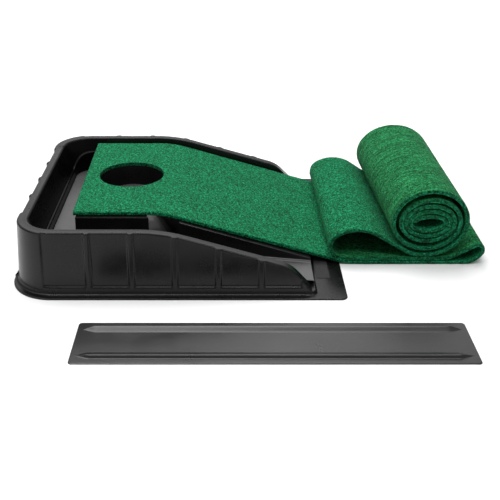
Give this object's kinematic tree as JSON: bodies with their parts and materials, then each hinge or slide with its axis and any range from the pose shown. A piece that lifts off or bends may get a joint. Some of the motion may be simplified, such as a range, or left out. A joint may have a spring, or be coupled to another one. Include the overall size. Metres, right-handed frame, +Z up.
{
  "type": "practice putting mat",
  "caption": "Indoor putting mat: ribbed plastic ball-return tray with ramp and cup, felt mat folded and rolled, loose return track.",
  "frame": {"origin": "centre of the plan of everything, on the floor", "axes": "+X from the cup end to the rolled end of the mat, -Y to the side of the return channel and the loose track, +Z up"},
  "size_m": [0.725, 0.616, 0.1252],
  "materials": {
    "tray_plastic": "formed sheet, glossy black",
    "track_plastic": "formed sheet, satin black",
    "green_felt": "needle-punched pile",
    "hook_tape": "hook tape"
  },
  "bodies": {
    "tray_body": {"tray": "tray_plastic", "hook_strip": "hook_tape"},
    "mat_body": {"felt_mat": "green_felt"},
    "track_body": {"return_track": "track_plastic"}
  },
  "joints": [
    {"name": "mat_lift", "type": "slide", "parent": "tray_body", "child": "mat_body", "axis": [0, 0, 1], "range_m": [0, 0.15]},
    {"name": "track_lift", "type": "slide", "parent": "tray_body", "child": "track_body", "axis": [0, 0, 1], "range_m": [0, 0.15]}
  ]
}
